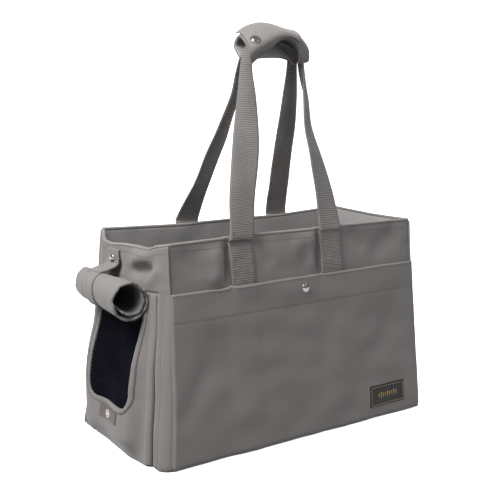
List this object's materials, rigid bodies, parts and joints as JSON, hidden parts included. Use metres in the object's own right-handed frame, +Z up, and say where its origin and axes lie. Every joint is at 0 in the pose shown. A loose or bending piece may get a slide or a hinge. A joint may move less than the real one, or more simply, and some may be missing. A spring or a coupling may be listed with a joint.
{
  "type": "pet carrier bag",
  "caption": "Soft open-top pet carrier tote in grey canvas with twin webbing handles, snap grip wrap, front pocket, mesh end windows and a zipped drop-down end door.",
  "frame": {"origin": "centre of the base's underside, on the surface the bag stands on", "axes": "+X to the bag's right as one faces the pocket, -Y out of the pocket side, +Z up"},
  "size_m": [0.5102, 0.2321, 0.5656],
  "materials": {
    "canvas": "tight plain-weave cotton canvas, padded",
    "lining": "smooth woven lining",
    "webbing": "ribbed cotton webbing",
    "mat_cover": "soft brushed cloth over foam",
    "board": "stiff board",
    "window_mesh": "black knitted spacer mesh",
    "zip_tape": "woven zip tape with a coil",
    "zip_metal": "dark plated zinc",
    "chrome": "polished snap caps",
    "label": "black woven label with a gold border",
    "tag": "leatherette tag",
    "emblem": "plain plated ring"
  },
  "bodies": {
    "root": {"base_panel": "canvas", "base_board": "board", "comfort_mat": "mat_cover", "front_panel": "canvas", "front_lining": "lining", "rear_panel": "canvas", "rear_lining": "lining", "left_collar": "canvas", "left_collar_lining": "lining", "right_collar": "canvas", "right_collar_lining": "lining", "right_end_panel": "canvas", "right_window_mesh": "window_mesh", "right_window_welt": "canvas", "left_front_gusset": "canvas", "left_rear_gusset": "canvas", "front_zip_fixed_tape": "zip_tape", "rear_zip_fixed_tape": "zip_tape", "front_left_strap_tail": "webbing", "front_right_strap_tail": "webbing", "rear_left_strap_tail": "webbing", "rear_right_strap_tail": "webbing", "front_pocket": "canvas", "woven_label": "label", "pocket_snap_cap": "chrome", "pocket_snap_stud": "chrome", "front_mouth_snap": "chrome", "rear_mouth_snap": "chrome", "mouth_binding": "canvas"},
    "front_handle": {"front_handle_webbing": "webbing"},
    "rear_handle": {"rear_handle_webbing": "webbing", "grip_pad": "canvas"},
    "grip_flap": {"grip_flap": "canvas", "grip_snap_cap": "chrome", "grip_snap_socket": "chrome"},
    "left_door": {"left_door_panel": "canvas", "left_window_mesh": "window_mesh", "left_window_welt": "canvas", "left_window_cover": "canvas", "left_cover_wrap_strap": "canvas", "left_end_tag": "tag", "left_end_emblem": "emblem", "front_zip_door_tape": "zip_tape", "rear_zip_door_tape": "zip_tape"},
    "left_tab": {"left_cover_tab": "canvas", "left_tab_snap_cap": "chrome"},
    "right_tab": {"right_cover_tab": "canvas", "right_tab_snap_cap": "chrome"},
    "right_cover": {"right_window_cover": "canvas"},
    "front_slider": {"front_zip_slider": "zip_metal"},
    "rear_slider": {"rear_zip_slider": "zip_metal"}
  },
  "joints": [
    {"name": "front_handle_swing", "type": "hinge", "parent": "root", "child": "front_handle", "pos_m": [0, -0.0815, 0.2868], "axis": [1, 0, 0], "range_deg": [0, 160], "deforming": ["grip_pad", "grip_flap"]},
    {"name": "rear_handle_swing", "type": "hinge", "parent": "root", "child": "rear_handle", "pos_m": [0, 0.0815, 0.2868], "axis": [-1, 0, 0], "range_deg": [0, 160]},
    {"name": "grip_flap_open", "type": "hinge", "parent": "rear_handle", "child": "grip_flap", "pos_m": [0, -0.02, 0.559], "axis": [1, 0, 0], "range_deg": [0, 120]},
    {"name": "left_door_drop", "type": "hinge", "parent": "root", "child": "left_door", "pos_m": [-0.2312, 0, 0.0042], "axis": [0, -1, 0], "range_deg": [0, 76]},
    {"name": "left_tab_lift", "type": "hinge", "parent": "root", "child": "left_tab", "pos_m": [-0.2194, 0.03, 0.266], "axis": [0, 1, 0], "range_deg": [0, 100]},
    {"name": "right_tab_lift", "type": "hinge", "parent": "root", "child": "right_tab", "pos_m": [0.2194, 0.03, 0.266], "axis": [0, -1, 0], "range_deg": [0, 100]},
    {"name": "right_cover_lift", "type": "hinge", "parent": "root", "child": "right_cover", "pos_m": [0.2225, 0.005, 0.2235], "axis": [0, -1, 0], "range_deg": [0, 110]},
    {"name": "front_zip_run", "type": "slide", "parent": "root", "child": "front_slider", "axis": [-0.0528, -0.0838, -0.9951], "range_m": [0, 0.175]},
    {"name": "rear_zip_run", "type": "slide", "parent": "root", "child": "rear_slider", "axis": [-0.0528, 0.0838, -0.9951], "range_m": [0, 0.175]}
  ]
}
